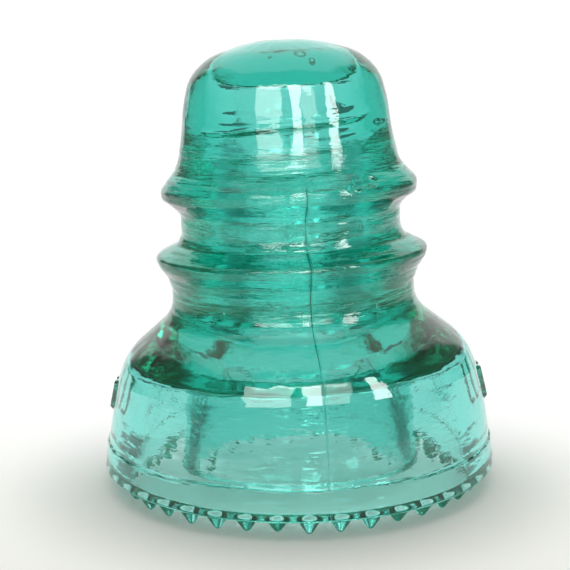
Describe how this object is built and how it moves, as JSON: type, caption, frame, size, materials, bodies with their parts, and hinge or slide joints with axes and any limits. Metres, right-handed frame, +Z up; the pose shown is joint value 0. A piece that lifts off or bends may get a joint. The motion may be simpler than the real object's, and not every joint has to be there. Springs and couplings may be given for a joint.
{
  "type": "glass pin insulator",
  "caption": "Bell-shaped pressed-glass pin insulator with a domed crown, ridged wire groove, threaded pin hole, inner skirt and a rim of drip points.",
  "frame": {"origin": "bottom centre of the bounding box: on the bell's axis, level with the tips of the drip points", "axes": "+Z up along the bell's axis towards the crown; the mould seam seen from the front is near -Y, the raised bars are on +X and -X, a little towards +Y"},
  "size_m": [0.0916, 0.0916, 0.1016],
  "materials": {
    "glass": "clear blue-green pressed glass, glossy, slightly wavy, with a few bubbles"
  },
  "bodies": {
    "root": {"crown_cap": "glass", "crown_wall": "glass", "upper_wire_ridge": "glass", "wire_groove": "glass", "lower_wire_ridge": "glass", "waist": "glass", "shoulder": "glass", "outer_skirt": "glass", "base_rim": "glass", "inner_skirt": "glass", "drip_points": "glass", "raised_marks": "glass"}
  },
  "joints": []
}
